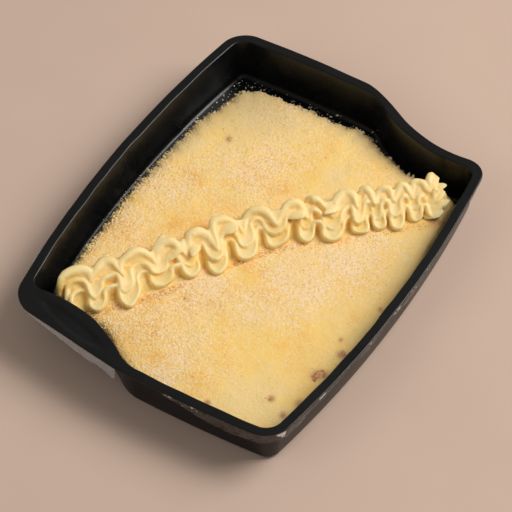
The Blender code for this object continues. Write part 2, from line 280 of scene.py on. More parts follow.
def outline(angles, inset, corner, depth=cavity_depth):
    """Plan points at spoke angles where a depth, found by halving, equals the inset."""
    low = np.full(len(angles), 40.0 * MM)
    high = np.full(len(angles), 180.0 * MM)
    for _ in range(30):
        middle = (low + high) / 2
        inside = depth(middle * np.cos(angles), middle * np.sin(angles), corner) > inset
        low = np.where(inside, middle, low)
        high = np.where(inside, high, middle)
    radius = (low + high) / 2
    return np.column_stack([radius * np.cos(angles), radius * np.sin(angles)])


def spoke_angles(count, turn_step=math.radians(3.0), straight_step=2.5 * MM):
    """Angles of spokes that stand closer together where the rim turns."""
    fine = np.linspace(0, 2 * math.pi, 7200, endpoint=False)
    rim = outline(fine, 0.0, CORNER)
    step = np.roll(rim, -1, axis=0) - rim
    heading = np.arctan2(step[:, 1], step[:, 0])
    turn = np.abs((np.roll(heading, -1) - heading + math.pi) % (2 * math.pi) - math.pi)
    weight = np.hypot(*step.T) / straight_step + turn / turn_step
    total = np.concatenate([[0.0], np.cumsum(weight)])
    wanted = np.arange(count) * total[-1] / count
    return np.interp(wanted, total, np.append(fine, 2 * math.pi))


# ---- materials ----

class Look:
    """A material's node tree, with short ways to add the nodes that the looks use."""

    def __init__(self, name):
        self.material = bpy.data.materials.new(name)
        self.material.use_nodes = True
        self.tree = self.material.node_tree
        self.coords = self.node("TexCoord", "Object", {})

    def feed(self, socket, value):
        """Give a socket a number, a colour, or what another node puts out."""
        if isinstance(value, bpy.types.NodeSocket):
            self.tree.links.new(value, socket)
        elif socket.type == "RGBA":
            socket.default_value = (*value, 1.0)
        else:
            socket.default_value = value

    def node(self, kind, output, inputs, **settings):
        """One output of a new node."""
        made = self.tree.nodes.new("ShaderNode" + kind)
        for key, value in settings.items():
            setattr(made, key, value)
        for key, value in inputs.items():
            self.feed(made.inputs[key], value)
        return made.outputs[output]

    def noise(self, scale, detail=3.0, roughness=0.55):
        return self.node("TexNoise", "Fac", {
            "Vector": self.coords, "Scale": scale, "Detail": detail, "Roughness": roughness})

    def ramp(self, source, *stops):
        """Colours by a source's value, from stops of a value and a colour."""
        colour = self.node("ValToRGB", "Color", {"Fac": source})
        elements = colour.node.color_ramp.elements
        while len(elements) < len(stops):
            elements.new(0.5)
        for element, (place, shade) in zip(elements, stops):
            element.position = place
            element.color = (*shade, 1.0)
        return colour

    def mix(self, share, a, b):
        return self.node("Mix", 2, {0: share, 6: a, 7: b}, data_type="RGBA")

    def mix_values(self, share, a, b):
        return self.node("Mix", 0, {0: share, 2: a, 3: b}, data_type="FLOAT")

    def math(self, operation, *values, **settings):
        return self.node("Math", 0, dict(enumerate(values)), operation=operation, **settings)

    def spread(self, source, *ends):
        """A value moved from one range to another, by the low and high end of each."""
        names = ("Value", "From Min", "From Max", "To Min", "To Max")
        return self.node("MapRange", "Result", dict(zip(names, (source, *ends))))

    def attribute(self, name):
        return self.node("Attribute", "Fac", {}, attribute_name=name)

    def share(self, name, low, high, most=1.0):
        """A share that goes from 0 to the most as a named attribute goes from low to high."""
        return self.spread(self.attribute(name), low, high, 0.0, most)

    def bump(self, height, distance, strength, under=None):
        """A bumped normal, laid over another one if that is given."""
        inputs = {"Height": height, "Distance": distance, "Strength": strength}
        if under is not None:
            inputs["Normal"] = under
        return self.node("Bump", "Normal", inputs)

    def shaded(self, colour, roughness, inputs):
        """The material, once its shader's sockets are fed."""
        shader = self.tree.nodes["Principled BSDF"]
        inputs = {"Base Color": colour, "Roughness": roughness, **inputs}
        for key, value in inputs.items():
            self.feed(shader.inputs[key], value)
        return self.material


def plastic_material():
    look = Look("black_plastic")
    broad = look.noise(45.0, detail=4.0)
    colour = look.ramp(broad, (0.3, (0.0036, 0.0040, 0.0046)), (0.7, (0.0050, 0.0055, 0.0062)))
    pebbled = look.bump(look.noise(900.0, detail=2.0), distance=0.00003, strength=0.25)
    return look.shaded(colour, look.spread(broad, 0.3, 0.7, 0.24, 0.33), {
        "Specular IOR Level": 0.33,
        "Normal": look.bump(broad, distance=0.0006, strength=0.18, under=pebbled),
    })


def mash_material():
    """Browned mash: cream, yellow and amber in patches, under a fine crumb grain, darkened by
    painted shade toward its rims and by painted contact shadow along the ruffle.
    """
    look = Look("crumbed_mash")
    crumbed = look.attribute("crumbed")
    broad = look.noise(62.0, detail=4.0, roughness=0.6)
    blotch = look.mix_values(0.3, broad, look.noise(430.0, roughness=0.65))
    # the browned attribute: browning, and along the ruffle's front edge partly painted contact
    # shadow
    patch = look.math("MULTIPLY_ADD", blotch, 0.9, look.attribute("browned"))
    base = look.ramp(
        patch,
        (0.30, (0.86, 0.635, 0.275)),
        (0.48, (0.91, 0.63, 0.20)),
        (0.66, (0.92, 0.565, 0.145)),
        # darkest stops: the most browned mash, and the painted contact shadow along the ruffle
        (0.86, (0.80, 0.42, 0.09)),
        (1.00, (0.60, 0.27, 0.06)),
    )
    cells = look.node("TexVoronoi", "Distance", {"Vector": look.coords, "Scale": 820.0})
    grain = look.ramp(
        cells.node.outputs["Color"],
        (0.15, (0.84, 0.48, 0.15)),
        (0.38, (0.92, 0.64, 0.27)),
        (0.58, (0.96, 0.72, 0.42)),
        (0.85, (0.97, 0.76, 0.52)),
    )
    cover = look.math("MULTIPLY", look.spread(cells, 0.30, 0.75, 0.95, 0.15), crumbed)
    grained = look.mix(cover, base, grain)
    stained = look.mix(look.share("stained", 0.05, 0.6, 0.9), grained, (0.50, 0.24, 0.09))
    # painted shade: the rim_shade attribute turns the colour darker and duller down the far slopes,
    # toward the far corner and along the near walls
    shaded = look.mix(look.share("rim_shade", 0.0, 1.0, 0.88), stained, (0.48, 0.38, 0.20))
    raised = look.math("MULTIPLY", look.spread(cells, 0.1, 0.8, 1.0, 0.0),
                       look.spread(crumbed, 0.0, 1.0, 0.15, 1.0))
    grainy = look.bump(raised, distance=0.0005, strength=0.7)
    rough = look.noise(300.0, roughness=0.6)
    return look.shaded(shaded, 0.62, {
        "Subsurface Weight": 0.2,
        "Subsurface Radius": (1.0, 0.55, 0.2),
        "Subsurface Scale": 0.002,
        "Normal": look.bump(rough, distance=0.0008, strength=0.35, under=grainy),
    })


def crumb_material(name, low, high):
    look = Look(name)
    colour = look.ramp(look.attribute("tone"), (0.0, low), (1.0, high))
    mottled = look.spread(look.noise(1700.0, detail=2.0), 0.35, 0.7, 0.0, 0.3)
    shade = look.mix(mottled, colour, tuple(0.85 * c for c in low))
    # painted shade by the rim, as on the mash beneath
    rim_shaded = look.mix(look.share("rim_shade", 0.0, 1.0, 0.85), shade, tuple(0.5 * c for c in low))
    return look.shaded(rim_shaded, 0.75, {})


def piped_material():
    """Smooth piped mash: cream, with amber painted into the folds for their shade and for light
    glowing through the mash there.
    """
    look = Look("piped_mash")
    light = look.ramp(look.noise(90.0), (0.35, (0.89, 0.67, 0.30)), (0.65, (0.90, 0.705, 0.35)))
    # painted shade and glow: the deeper in a fold, the more amber
    deep = look.mix(look.share("fold", 0.15, 0.70), light, (0.94, 0.63, 0.19))
    return look.shaded(deep, 0.5, {
        "Subsurface Weight": 0.5,
        "Subsurface Radius": (1.0, 0.9, 0.5),
        "Subsurface Scale": 0.006,
        "Normal": look.bump(look.noise(900.0, roughness=0.6), distance=0.0003, strength=0.35),
    })


def meat_material():
    look = Look("mince")
    patch = look.noise(700.0)
    colour = look.ramp(patch, (0.35, (0.36, 0.13, 0.045)), (0.65, (0.60, 0.30, 0.12)))
    return look.shaded(colour, 0.42, {"Normal": look.bump(patch, distance=0.0004, strength=0.6)})


def film_material(name, dull, lowest, highest):
    """Clear film in a dull colour, with a painted white highlight, less clear, along its creases
    and glints.
    """
    look = Look(name)
    haze = look.noise(140.0, roughness=0.6)
    glint_share = look.share("crease", 0.55, 0.9)
    veil = look.spread(haze, 0.35, 0.7, lowest, highest)
    # painted highlight: whiter and less clear where the crease attribute is high
    return look.shaded(look.mix(glint_share, dull, (0.82, 0.80, 0.77)), 0.15, {
        "Alpha": look.math("MULTIPLY_ADD", glint_share, 0.6, veil, use_clamp=True),
        "Normal": look.bump(haze, distance=0.0012, strength=0.4),
    })


def floor_material():
    look = Look("pale_floor")
    colour = look.ramp(look.noise(9.0), (0.3, (0.56, 0.415, 0.335)), (0.7, (0.59, 0.44, 0.355)))
    return look.shaded(colour, 0.8, {})


# ---- tray ----

def dimple(x, y):
    """Depth of the tab's shallow oval hollow at plan points."""
    dx = x - DIMPLE_CENTRE[0]
    dy = y - DIMPLE_CENTRE[1]
    u = dx * math.cos(DIMPLE_TURN) + dy * math.sin(DIMPLE_TURN)
    v = -dx * math.sin(DIMPLE_TURN) + dy * math.cos(DIMPLE_TURN)
    reach = np.hypot(u / (DIMPLE_LENGTH / 2), v / (DIMPLE_WIDTH / 2))
    return DIMPLE_DEPTH * fade(reach, 0.62, 1.06)


def arc(centre_inset, centre_z, radius, start, end, steps):
    """Inset and height along a section's round, by angles in degrees."""
    turn = np.radians(np.linspace(start, end, steps))
    return [(centre_inset + radius * math.cos(t), centre_z + radius * math.sin(t))
            for t in turn]


def build_tray(material):
    """The tray's skin in rings: base, outside, flange, lip, inside and floor."""
    spokes = spoke_angles(760)
    under = RIM - FLANGE_THICK
    foot = DRAFT - SHEET
    outer = FILLET + SHEET / 2
    wobble = WOBBLE * wave_sum(spokes, ((9, 0.4, 1.0), (17, 2.0, 0.8), (31, 1.1, 0.6)))

    def ring(inset, z, corner, waver=0.0, depth=cavity_depth):
        plan = outline(spokes, inset, corner, depth)
        return at_height(plan + unit(plan) * (wobble * waver)[:, None], z)

    def flange_ring(share, z, edge):
        """A ring on the flange, from the cavity's line (0) to the flange's edge (1)."""
        inner = ring(-SHEET, 0.0, corner=6.8 * MM, waver=1.0)
        rim = ring(-FLANGE + edge, 0.0, CORNER, waver=0.35, depth=flange_depth)
        plan = (inner + (rim - inner) * share)[:, :2]
        sag = 0.10 * MM * noise2(*plan.T, 16 * MM, seed=5) - FLANGE_SAG * share
        return at_height(plan, z + sag - dimple(*plan.T))

    base = outline(spokes, foot + outer, corner=4.5 * MM)
    rings = [at_height(base * share, 0.5 * MM) for share in (0.5, 0.93)]
    rings.append(at_height(base * 0.965, 0.0))
    for inset, z in arc(foot + outer, outer, outer, 270, 180, 8):
        rings.append(ring(inset, z, corner=6.0 * MM + 0.4 * inset))
    for share in (0.3, 0.6, 0.9):
        rings.append(ring(foot + (-SHEET - foot) * share, outer + (under - outer) * share,
                          corner=6.4 * MM, waver=share))
    rings.append(ring(-SHEET - 0.5 * MM, under - 0.1 * MM, corner=7.3 * MM, waver=1.0))
    for share in (0.12, 0.3, 0.5, 0.7, 0.9):
        rings.append(flange_ring(share, under, edge=0.2 * MM))
    for out, z in ((0.1, 0.06), (0.0, 0.3), (0.0, 0.68), (0.12, 0.9)):
        rings.append(flange_ring(1.0, under + z * MM, edge=out * MM))
    for share in np.linspace(0.96, 0.0, 17):
        rings.append(flange_ring(share, RIM, edge=0.3 * MM))
    for inset, z in arc(-SHEET, RIM - SHEET, SHEET, 62, 4, 5):
        rings.append(ring(inset, z, corner=6.4 * MM, waver=1.0))
    top = RIM - 0.9 * MM
    low = SHEET + FILLET
    for share in (0.2, 0.4, 0.6, 0.8, 0.95):
        rings.append(ring(DRAFT * share, top + (low - top) * share, corner=5.8 * MM,
                          waver=1 - share))
    for inset, z in arc(DRAFT + FILLET, low, FILLET, 180, 270, 9):
        rings.append(ring(inset, z, corner=5.0 * MM))
    floor = outline(spokes, DRAFT + FILLET, corner=4.0 * MM)
    rings += [at_height(floor * share, SHEET) for share in (0.9, 0.5)]
    return new_mesh("tray_shell", *loft(rings), material, smooth_angle=50.0)


# ---- mash slab ----

# The sloping edge: mm in from its foot, and the share of the slab's height there
SLOPE = ((0.0, 0.0), (0.05, 0.1), (0.1, 0.22), (0.5, 0.42), (1.2, 0.58), (1.9, 0.70),
         (2.6, 0.79), (3.4, 0.86), (4.4, 0.92), (5.6, 0.96), (7.0, 0.985), (8.6, 1.0))


def far_side(x, y):
    """1 along the far walls, which the mash stops short of, down to 0 at the near ones."""
    lean = 0.55 * y / (WIDTH / 2) + 0.75 * x / (LENGTH / 2)
    return np.clip(0.5 + 0.9 * lean, 0.0, 1.0)


def near_side(x, y):
    """1 along the near walls, where the mash's edge swells out to the plastic."""
    long = smooth_step(-y / MM, 48.0, 68.0) * fade(x / MM, 84.0, 98.0)
    short = smooth_step(-x / MM, 70.0, 90.0) * fade(y / MM, 24.0, 44.0)
    return np.maximum(long, short)


def end_side(x, y):
    """1 in the far corner at +X, where the mash stops furthest from the walls."""
    along = np.clip((x - END_FROM[0]) / END_EASE[0], 0.0, 1.0)
    across = np.clip((y - END_FROM[1]) / END_EASE[1], 0.0, 1.0)
    return along * across


def slab_height(x, y):
    """Height of the mash's top: shallow hollows, soft lumps and small dents."""
    waves = ((0.031, 0.044, 0.6), (-0.052, 0.027, 2.2), (0.071, -0.058, 4.0))
    hollow = sum(np.sin(kx * x / MM + ky * y / MM + phase) for kx, ky, phase in waves) / 3
    diagonal = (0.66 * x + 0.75 * y) / (34.0 * MM)
    beside = np.clip(diagonal * diagonal - 0.15, 0.0, 1.0)
    broad = PIE_TOP - 0.5 * MM - PIE_DIP * beside * (0.5 + 0.5 * hollow)
    return broad + TOP_LUMPS * layered_noise(x, y, 9.0 * MM, seed=21)


def edge_width(x, y):
    """How much wider than the SLOPE table has it the slab's sloping edge is."""
    return 0.62 + 0.9 * far_side(x, y) - 0.25 * near_side(x, y)


def edge_inset(spokes):
    """How far in from the rim line the slab's foot is, by spoke angles."""
    rim = outline(spokes, 0.0, CORNER)
    far = far_side(*rim.T)
    ragged = wave_sum(spokes, ((7, 0.4, 0.35), (13, 1.9, 0.3), (23, 0.7, 0.22), (31, 2.6, 0.16)))
    extra = PIE_SHRINK * far + EDGE_RAGGED * ragged
    extra += END_SHRINK * end_side(*rim.T)
    extra += 0.45 * MM * np.sin(67 * spokes + 0.3) * far
    return PIE_FOOT_INSET + np.maximum(extra, -0.4 * MM)


def edge_run(x, y):
    """How far plan points lie in from the foot of the slab."""
    return mash_depth(x, y, MASH_CORNER) - edge_inset(np.arctan2(y, x))


def slab_surface(x, y):
    """Height of the slab at plan points, its sloping edge among them."""
    further, share = np.array(SLOPE).T
    up = np.interp(edge_run(x, y) / (edge_width(x, y) * MM), further, share)
    return PIE_FOOT + up * (slab_height(x, y) - PIE_FOOT)


def rim_shade(places):
    """How much painted shade the mash gets at points: down its far slopes, along its far edge, in
    toward the far corner where the light falls off, and along the near walls.
    """
    x, y, z = places.T
    far = far_side(x, y)
    below = smooth_step((PIE_TOP - 1.2 * MM - z) / MM, 0.0, 5.0)
    edge = fade(edge_run(x, y) / MM, 0.0, 5.0 + 12.0 * smooth_step(x / MM, -20.0, 60.0))
    corner = fade(np.hypot(x - 108 * MM, y - 74 * MM) / MM, 16.0, 75.0)
    # painted shadow of the near walls and their flange
    near = fade((WIDTH / 2 + y) / MM, 10.0, 45.0)
    return np.maximum.reduce([below * far, 0.85 * edge * far, corner, 0.32 * near])


def build_slab(material):
    """The slab in rings: up its sloping edge by the SLOPE table, then in over its top."""
    spokes = spoke_angles(720)
    rim = outline(spokes, 0.0, CORNER)
    start = edge_inset(spokes)
    ragged = 0.35 + 0.9 * far_side(*rim.T)
    width = edge_width(*rim.T)
    rings = []
    for further, share in SLOPE:
        swell = smooth_step(share, 0.08, 0.4) * fade(share, 0.93, 1.0)
        inset = start + further * width * MM - NEAR_SWELL * swell * near_side(*rim.T)
        plan = outline(spokes, inset, MASH_CORNER, mash_depth)
        full = slab_height(*plan.T) - PIE_FOOT
        rough = ragged * MM * layered_noise(spokes * 0.1, np.full(len(spokes), further * MM),
                                            3.0 * MM, seed=40)
        plan = plan + unit(plan) * (rough * min(1.0, share * 3) * (1 - share ** 6))[:, None]
        rings.append(at_height(plan, PIE_FOOT + share * full))
    inner = [rings[-1][:, :2] * share for share in np.linspace(0.992, 0.012, 100)]
    rings += [at_height(plan, slab_height(*plan.T)) for plan in inner]
    verts, faces = loft(rings)
    made = new_mesh("mash_slab", verts, faces, material)
    x, y = verts[:, 0], verts[:, 1]
    add_attributes(made, browned=browning_and_shade(x, y), crumbed=crumb_density(x, y),
                   rim_shade=rim_shade(verts), stained=mince_stain(x, y))
    return made


# ---- brown patches, painted shade by the ruffle, and stains ----

BROWN_SPOTS = (               # place and reach of the browned patches, mm
    (-66, -16, 15), (-18, -4, 13), (-8, 44, 14), (-34, 53, 15), (18, 49, 13), (-76, -8, 13),
    (-62, 26, 15), (60, 4, 12), (-30, -12, 15), (-46, -8, 13), (-76, 34, 12), (40, 14, 14),
    (-78, 14, 14), (-88, -20, 12), (-50, 2, 12), (22, 28, 12), (-46, -44, 10), (-84, 0, 12),
    (-75, 38, 8), (33, -47, 7), (40, -54, 7), (51, -62, 7), (-14, 0, 8), (-58, 28, 8),
)
AMBER_SPOTS = ((-78, 18, 15), (-88, 4, 9), (-62, 28, 11), (20, 53, 8), (40, 24, 11),
               (-48, 12, 9), (-30, 63, 13), (-6, 30, 8))
CREAM_SPOTS = ((-85, -50, 18), (56, -14, 14), (-96, -6, 8), (66, 44, 16), (40, 62, 12))
MINCE_SPOTS = (               # place and length of the bits of mince that show, mm
    (-54.5, -70.5, 6.0), (-52.5, -73.5, 4.0), (-37.0, -74.3, 4.6), (-74.0, -72.3, 4.2),
    (-79.0, -58.5, 2.6), (-84.5, -69.0, 3.0), (-29.0, -69.0, 1.2), (-2.0, -76.0, 1.0),
    (-49.0, 11.0, 1.7), (-98.0, -33.0, 2.2), (52.0, 49.0, 2.4), (76.5, 61.5, 2.6),
)


def nearness(x, y, spots):
    """1 at the middle of any of the spots, fading away from all of them."""
    total = np.zeros(np.shape(x))
    for cx, cy, reach in spots:
        off = np.hypot(x / MM - cx, y / MM - cy) / reach
        total = np.maximum(total, np.exp(-off * off))
    return total


def beside_ruffle(x, y, reach):
    """1 along the ruffle's front edge, down to 0 a reach (mm) away from it."""
    line = on_axis(np.linspace(-4, 206, 160) * MM, np.full(160, -11.5 * MM))
    off = np.full(np.shape(x), 1.0)
    for px, py in line:
        off = np.minimum(off, np.hypot(x - px, y - py))
    return fade(off / MM, 0.0, reach)


# How brown the plain mash is, what its darker places add, and what cream takes off; beside the
# ruffle the added brown is partly real and partly the ruffle's painted contact shadow
PLAIN = 0.06
PATCHES = 0.24
BY_RUFFLE = 0.7
AMBER = 0.34
CREAM = 0.22


def browning_and_shade(x, y):
    """0 for pale mash to 1 for the brownest, and below 0 for the creamiest; along the ruffle's
    front edge it is partly painted contact shadow.
    """
    cloud = clouds(x, y, 9.0 * MM, seed=71)
    patches = PATCHES * nearness(x, y, BROWN_SPOTS) * smooth_step(cloud, 0.15, 0.85)
    # along the ruffle's front edge: browning, and painted contact shadow under the edge
    beside = BY_RUFFLE * beside_ruffle(x, y, 4.0) * smooth_step(cloud, 0.2, 0.7)
    amber = AMBER * nearness(x, y, AMBER_SPOTS) * (0.5 + 0.5 * cloud)
    most = np.maximum.reduce([patches, beside, amber])
    return np.clip(PLAIN + most - CREAM * nearness(x, y, CREAM_SPOTS), -0.2, 1.0)


def mince_stain(x, y):
    """1 where the mince under the mash shows through it, with soft edges."""
    spots = [(cx, cy, 0.42 * length + 0.9) for cx, cy, length in MINCE_SPOTS]
    return nearness(x, y, spots) * (0.6 + 0.4 * clouds(x, y, 2.5 * MM, seed=77, octaves=2))


# ---- crumbs ----

MOST_CRUMBS = 24500            # of one kind
GRAIN_EDGE = 75.0              # degrees; grains are smooth but for their flat undersides


def circle(count, radius, z, start=0.0):
    turn = 2 * math.pi * np.arange(count) / count + start
    return np.column_stack([radius * np.cos(turn), radius * np.sin(turn), np.full(count, z)])


def low_dome(sides=5):
    """Corners and triangles of a flat-bottomed dome with a single top corner."""
    upper = [(i, (i + 1) % sides, sides) for i in range(sides)]
    under = [(0, i + 1, i) for i in range(1, sides - 1)]
    return np.vstack([circle(sides, 1.0, -0.2), (0.0, 0.0, 1.0)]), np.array(upper + under)


def round_lump():
    """Corners and triangles of a twenty-sided ball."""
    out, up = 2 / math.sqrt(5), 1 / math.sqrt(5)
    rings = [circle(5, out, up), circle(5, out, -up, math.pi / 5)]
    faces = []
    for i in range(5):
        j = (i + 1) % 5
        faces += [(10, i, j), (i, 5 + i, j), (5 + i, 5 + j, j), (11, 5 + j, 5 + i)]
    return np.vstack([*rings, (0, 0, 1), (0, 0, -1)]), np.array(faces)


def turned(shape, spin):
    """Groups of points, each turned by its own quaternion."""
    w, x, y, z = (spin / np.linalg.norm(spin, axis=1)[:, None]).T
    turn = np.stack([
        np.stack([1 - 2 * (y * y + z * z), 2 * (x * y - z * w), 2 * (x * z + y * w)], -1),
        np.stack([2 * (x * y + z * w), 1 - 2 * (x * x + z * z), 2 * (y * z - x * w)], -1),
        np.stack([2 * (x * z - y * w), 2 * (y * z + x * w), 1 - 2 * (x * x + y * y)], -1),
    ], 1)
    return np.einsum("nij,nkj->nki", turn, shape)


def crumb_mesh(name, places, sizes, material, seed, pattern, flat, tumble, shaded=1.0):
    """One mesh of many small irregular grains of one pattern, each longer than wide.

    Flat is their height, tumble how far they tip over, shaded how much of the mash's
    shade by the rim they take.
    """
    rng = np.random.default_rng(seed)
    count = len(places)
    corner, faces = pattern
    corners = len(corner)
    shape = corner[None] * rng.uniform(0.7, 1.25, (count, corners, 1))
    shape = shape + rng.normal(0, 0.12, (count, corners, 3))
    longer = rng.uniform(1.0, 1.9, count)[:, None]
    shape[:, :, 0] *= longer
    shape[:, :, 1] *= 1.15 / longer
    shape[:, :, 2] *= flat
    heading = rng.uniform(0, math.pi, count)
    spin = np.column_stack([np.cos(heading), rng.normal(0, tumble, count),
                            rng.normal(0, tumble, count), np.sin(heading)])
    shape = turned(shape, spin)
    verts = (places[:, None, :] + shape * (sizes / 2)[:, None, None]).reshape(-1, 3)
    tris = (np.arange(count)[:, None, None] * corners + faces[None]).reshape(-1, 3)
    made = new_mesh(name, verts, [tris], material, GRAIN_EDGE)
    add_attributes(made, tone=np.repeat(rng.uniform(0, 1, count), corners),
                   rim_shade=np.repeat(shaded * rim_shade(places), corners))
    return made


def slab_points(count, seed, spacing, weight):
    """Random plan points on the slab, kept in proportion to a weight of 0 to 1."""
    rng = np.random.default_rng(seed)
    x = rng.uniform(-LENGTH / 2, LENGTH / 2, count)
    y = rng.uniform(-WIDTH / 2, WIDTH / 2, count)
    keep = (edge_run(x, y) > spacing) & (rng.uniform(0, 1, count) < weight(x, y))
    return x[keep], y[keep]


CRUMB_SPOTS = (               # place and reach of the thick drifts of crumbs, mm
    (-40, 8, 16), (-75, 22, 20), (-12, -34, 22), (-34, -24, 16), (10, -46, 16), (-78, -8, 14),
    (38, 24, 22), (14, 53, 13), (-30, 64, 18), (8, 65, 14), (84, 36, 12), (-58, 16, 14),
    (30, -48, 12), (58, 30, 14), (-95, -4, 8),
)
PALE_SPOTS = ((-12, -34, 20), (10, -46, 18), (-36, 8, 14), (-34, -26, 14), (38, 26, 12),
              (-95, -4, 7))
SMOOTH_SPOTS = (              # place and reach of the bare, smooth patches, mm
    (22, 41, 10), (6, 38, 9), (-52, -34, 13), (-60, -44, 12), (56, -12, 15), (66, 48, 15),
    (-28, -60, 14), (-8, 44, 8), (-20, -8, 8),
)


def crumb_density(x, y):
    """Share of the full crumb cover: drifts, patchy between, bare along the near side."""
    cloud = clouds(x, y, 13.0 * MM, seed=93)
    near = smooth_step(y / MM + 0.3 * x / MM, -82.0, -45.0)
    cover = 0.12 + 0.30 * smooth_step(cloud, 0.3, 0.75)
    cover = cover + 0.75 * nearness(x, y, CRUMB_SPOTS) * (0.5 + 0.7 * cloud)
    cover = cover * (1 - 0.75 * nearness(x, y, SMOOTH_SPOTS))
    return np.clip(cover * (0.08 + 0.92 * near), 0, 1)


def drifting(between, inside, amber):
    """A share of crumbs that changes in the pale drifts and thins out on amber mash."""
    def share(x, y):
        drifts = between + inside * nearness(x, y, PALE_SPOTS)
        return crumb_density(x, y) * drifts * (1 - amber * nearness(x, y, AMBER_SPOTS))

    return share


def gold_share(x, y):
    return 1.5 * np.maximum(browning_and_shade(x, y), PLAIN) * (0.1 + 0.9 * crumb_density(x, y))


def toasted_share(x, y):
    strewn = 0.008 + 0.09 * browning_and_shade(x, y) * crumb_density(x, y)
    return strewn + 0.9 * beside_ruffle(x, y, 3.6) ** 2


CRUMBS = (                     # kind, tries, seed, size in mm, share kept, two colours
    ("pale", 60000, 3, 1.05, drifting(0.25, 0.75, 0.3),
     (0.93, 0.64, 0.38), (0.95, 0.75, 0.51)),
    ("cream", 60000, 6, 0.95, drifting(0.7, -0.2, 0.35),
     (0.92, 0.62, 0.24), (0.94, 0.71, 0.35)),
    ("gold", 60000, 4, 0.85, gold_share, (0.82, 0.44, 0.11), (0.92, 0.60, 0.21)),
    ("toasted", 36000, 5, 0.65, toasted_share, (0.52, 0.25, 0.08), (0.80, 0.50, 0.22)),
)


def build_crumbs():
    """The crumbs on the mash, as one mesh of each kind."""
    made = []
    for kind, tries, seed, size, share, low, high in CRUMBS:
        x, y = slab_points(tries, seed, 1.0 * MM, share)
        x, y = x[:MOST_CRUMBS], y[:MOST_CRUMBS]
        rng = np.random.default_rng(seed + 100)
        sizes = size * MM * np.minimum(rng.lognormal(0.0, 0.28, len(x)), 1.6)
        places = np.column_stack([x, y, slab_surface(x, y)])
        material = crumb_material("crumb_" + kind, low, high)
        made.append(crumb_mesh("crumbs_" + kind, places, sizes, material, seed + 200,
                               low_dome(), flat=0.24, tumble=0.03))
    return made


def build_edge_lumps():
    """Crumbly lumps of mash along the slab's far edges."""
    rng = np.random.default_rng(45)
    angle = rng.uniform(-0.72, 2.55, 1500)
    inset = edge_inset(angle) + rng.uniform(0.2, 4.2, len(angle)) * MM
    plan = outline(angle, inset, MASH_CORNER, mash_depth)
    cloud = 0.5 + 0.5 * noise2(*plan.T, 7 * MM, seed=46)
    plan = plan[rng.uniform(0, 1, len(angle)) < cloud]
    sizes = 1.25 * MM * rng.lognormal(0, 0.4, len(plan))
    z = slab_surface(*plan.T) - 0.05 * sizes
    material = crumb_material("edge_mash", (0.80, 0.62, 0.30), (0.92, 0.76, 0.44))
    return crumb_mesh("edge_lumps", at_height(plan, z), sizes, material, 47, round_lump(),
                      flat=0.85, tumble=0.8)


def build_flecks():
    """Bits of mince that show through the mash, each a cluster of half-sunk lumps."""
    rng = np.random.default_rng(61)
    spots = []
    sizes = []
    for x, y, length in MINCE_SPOTS:
        for _ in range(4 + int(length)):
            spots.append((x + rng.normal(0, 0.20 * length), y + rng.normal(0, 0.09 * length)))
            sizes.append(length * rng.uniform(0.30, 0.55))
    plan = np.array(spots) * MM
    sizes = np.array(sizes) * MM
    z = slab_surface(*plan.T) - 0.03 * sizes
    return crumb_mesh("mince_flecks", at_height(plan, z), sizes, meat_material(), 62,
                      round_lump(), flat=0.13, tumble=0.03)


def build_tray_crumbs():
    """Crumbs fallen on the tray's floor, in the gap beside the far walls."""
    rng = np.random.default_rng(31)
    angle = rng.uniform(-0.75, 2.6, 3600)
    low = 2.2 * MM
    high = edge_inset(angle) + 0.6 * MM
    inset = low + (high - low) * rng.uniform(0, 1, len(angle)) ** 0.55
    plan = outline(angle, inset, CORNER)
    cloud = 0.5 + 0.5 * noise2(*plan.T, 9 * MM, seed=33)
    keep = rng.uniform(0, 1, len(angle)) < 0.06 + 0.9 * cloud ** 2
    plan = plan[keep]
    sizes = 0.58 * MM * rng.lognormal(0, 0.4, len(plan))
    rise = np.clip(FILLET + DRAFT - inset[keep], 0, FILLET)
    z = SHEET + FILLET - np.sqrt(np.maximum(FILLET ** 2 - rise ** 2, 0)) + 0.3 * sizes
    material = crumb_material("crumb_white", (0.78, 0.70, 0.52), (0.90, 0.86, 0.72))
    return crumb_mesh("tray_crumbs", at_height(plan, z), sizes, material, 34, low_dome(),
                      flat=0.7, tumble=0.3, shaded=0.0)


# ---- piped ruffle ----

def smooth_curve(knots, count):
    """Evenly spaced points on a smooth curve through the knots."""
    ends = np.vstack([2 * knots[0] - knots[1], knots, 2 * knots[-1] - knots[-2]])
    t = np.linspace(0, 1, 60, endpoint=False)[:, None]
    dense = []
    for i in range(len(knots) - 1):
        a, b, c, d = ends[i:i + 4]
        dense.append(0.5 * (2 * b + (c - a) * t + (2 * a - 5 * b + 4 * c - d) * t ** 2
                            + (3 * b - a - 3 * c + d) * t ** 3))
    dense = np.vstack(dense + [knots[-1:]])
    length = run_length(dense)
    wanted = np.linspace(0, length[-1], count)
    return np.column_stack([np.interp(wanted, length, line) for line in dense.T])


AXIS = smooth_curve(np.array(PIPING_AXIS) * MM, 900)
AXIS_HEADING = unit(np.gradient(AXIS, axis=0))
AXIS_RUN = run_length(AXIS)


def on_axis(run, side):
    """Plan points at a running length along the piping's axis and a step sideways."""
    run = run + LEAN * side
    inside = np.clip(run, 0, AXIS_RUN[-1])
    x, y, tx, ty = (np.interp(inside, AXIS_RUN, line) for line in (*AXIS.T, *AXIS_HEADING.T))
    past = run - inside
    return np.column_stack([x + tx * past - ty * side, y + ty * past + tx * side])


